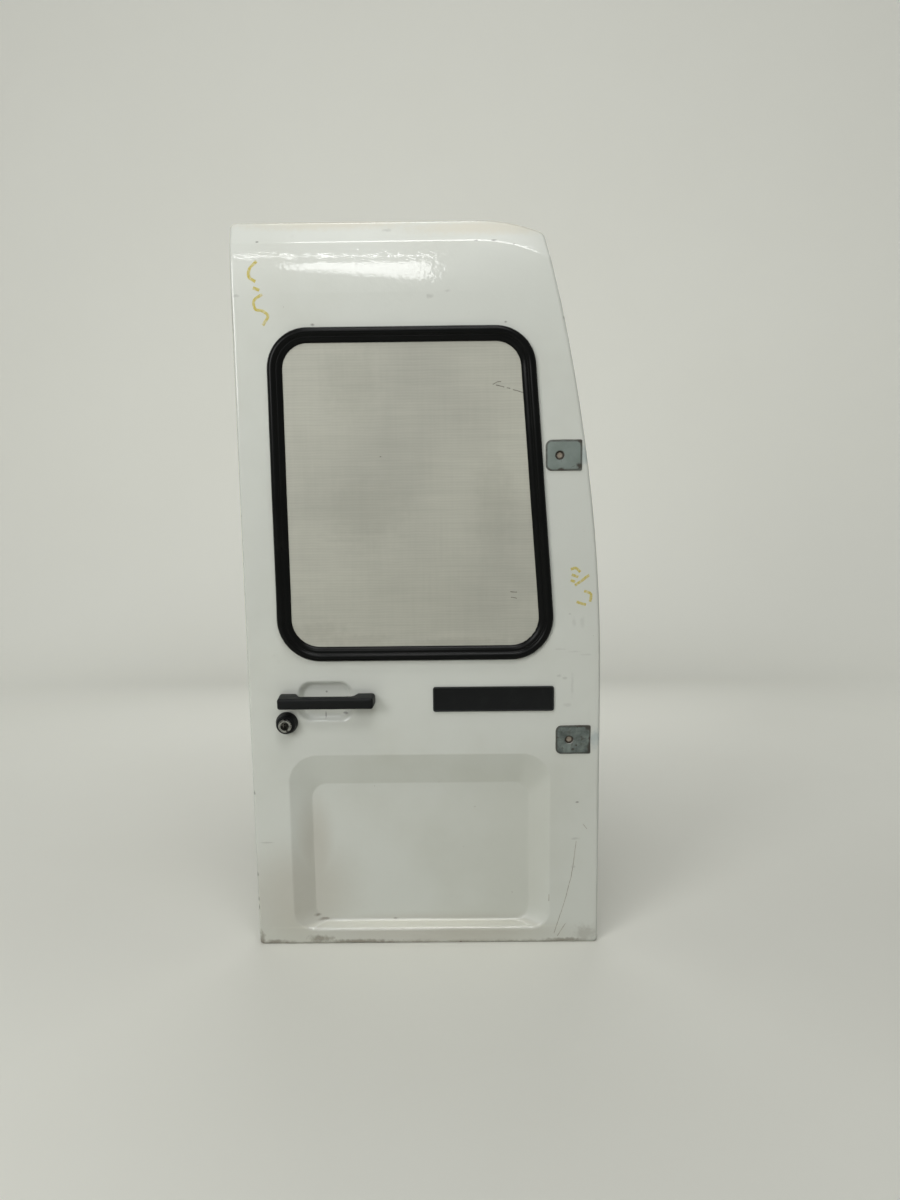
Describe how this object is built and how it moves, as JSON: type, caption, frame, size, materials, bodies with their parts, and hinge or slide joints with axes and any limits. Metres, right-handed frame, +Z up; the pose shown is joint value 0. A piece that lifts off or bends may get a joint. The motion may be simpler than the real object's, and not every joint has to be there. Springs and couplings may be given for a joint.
{
  "type": "van rear barn door",
  "caption": "Right-hand rear barn door of a small van: pressed steel skin on an inner panel, fixed window in a rubber seal, grip and push-button lock.",
  "frame": {"origin": "centre of the lower hinge seat's outer face", "axes": "+Z up the door, -Y out of the outer face, +X from the free edge towards the hinge edge"},
  "size_m": [0.587, 0.094, 1.202],
  "materials": {
    "body_paint": "aged gloss white",
    "primed_steel": "matt grey primer",
    "plated_steel": "zinc plated",
    "seal_rubber": "matt",
    "black_plastic": "grained",
    "chrome_plate": "polished, worn",
    "filmed_glass": "pale film behind glass"
  },
  "bodies": {
    "door": {"outer_skin": "body_paint", "inner_panel": "body_paint", "window_frame": "body_paint", "window_seal": "seal_rubber", "window_pane": "filmed_glass", "handle_grip": "black_plastic", "handle_pads": "seal_rubber", "handle_fixings": "plated_steel", "lock_housing": "black_plastic", "lock_ring_nut": "plated_steel", "name_plate": "black_plastic", "latch_case": "plated_steel", "latch_fork": "plated_steel", "latch_lever": "plated_steel", "blanking_plugs": "seal_rubber", "upper_hinge_plate": "primed_steel", "upper_hinge_doubler": "body_paint", "upper_hinge_nut_plate": "plated_steel", "lower_hinge_plate": "primed_steel", "lower_hinge_doubler": "body_paint", "lower_hinge_nut_plate": "plated_steel"},
    "lock_button": {"lock_button": "chrome_plate"},
    "key_plug": {"key_plug": "chrome_plate"}
  },
  "joints": [
    {"name": "button_press", "type": "slide", "parent": "door", "child": "lock_button", "axis": [0, 1, 0], "range_m": [0, 0.007], "stiffness_N_per_m": 600},
    {"name": "key_turn", "type": "hinge", "parent": "lock_button", "child": "key_plug", "pos_m": [-0.4795, -0.02, 0.034], "axis": [0, -1, 0], "range_deg": [0, 90]}
  ]
}
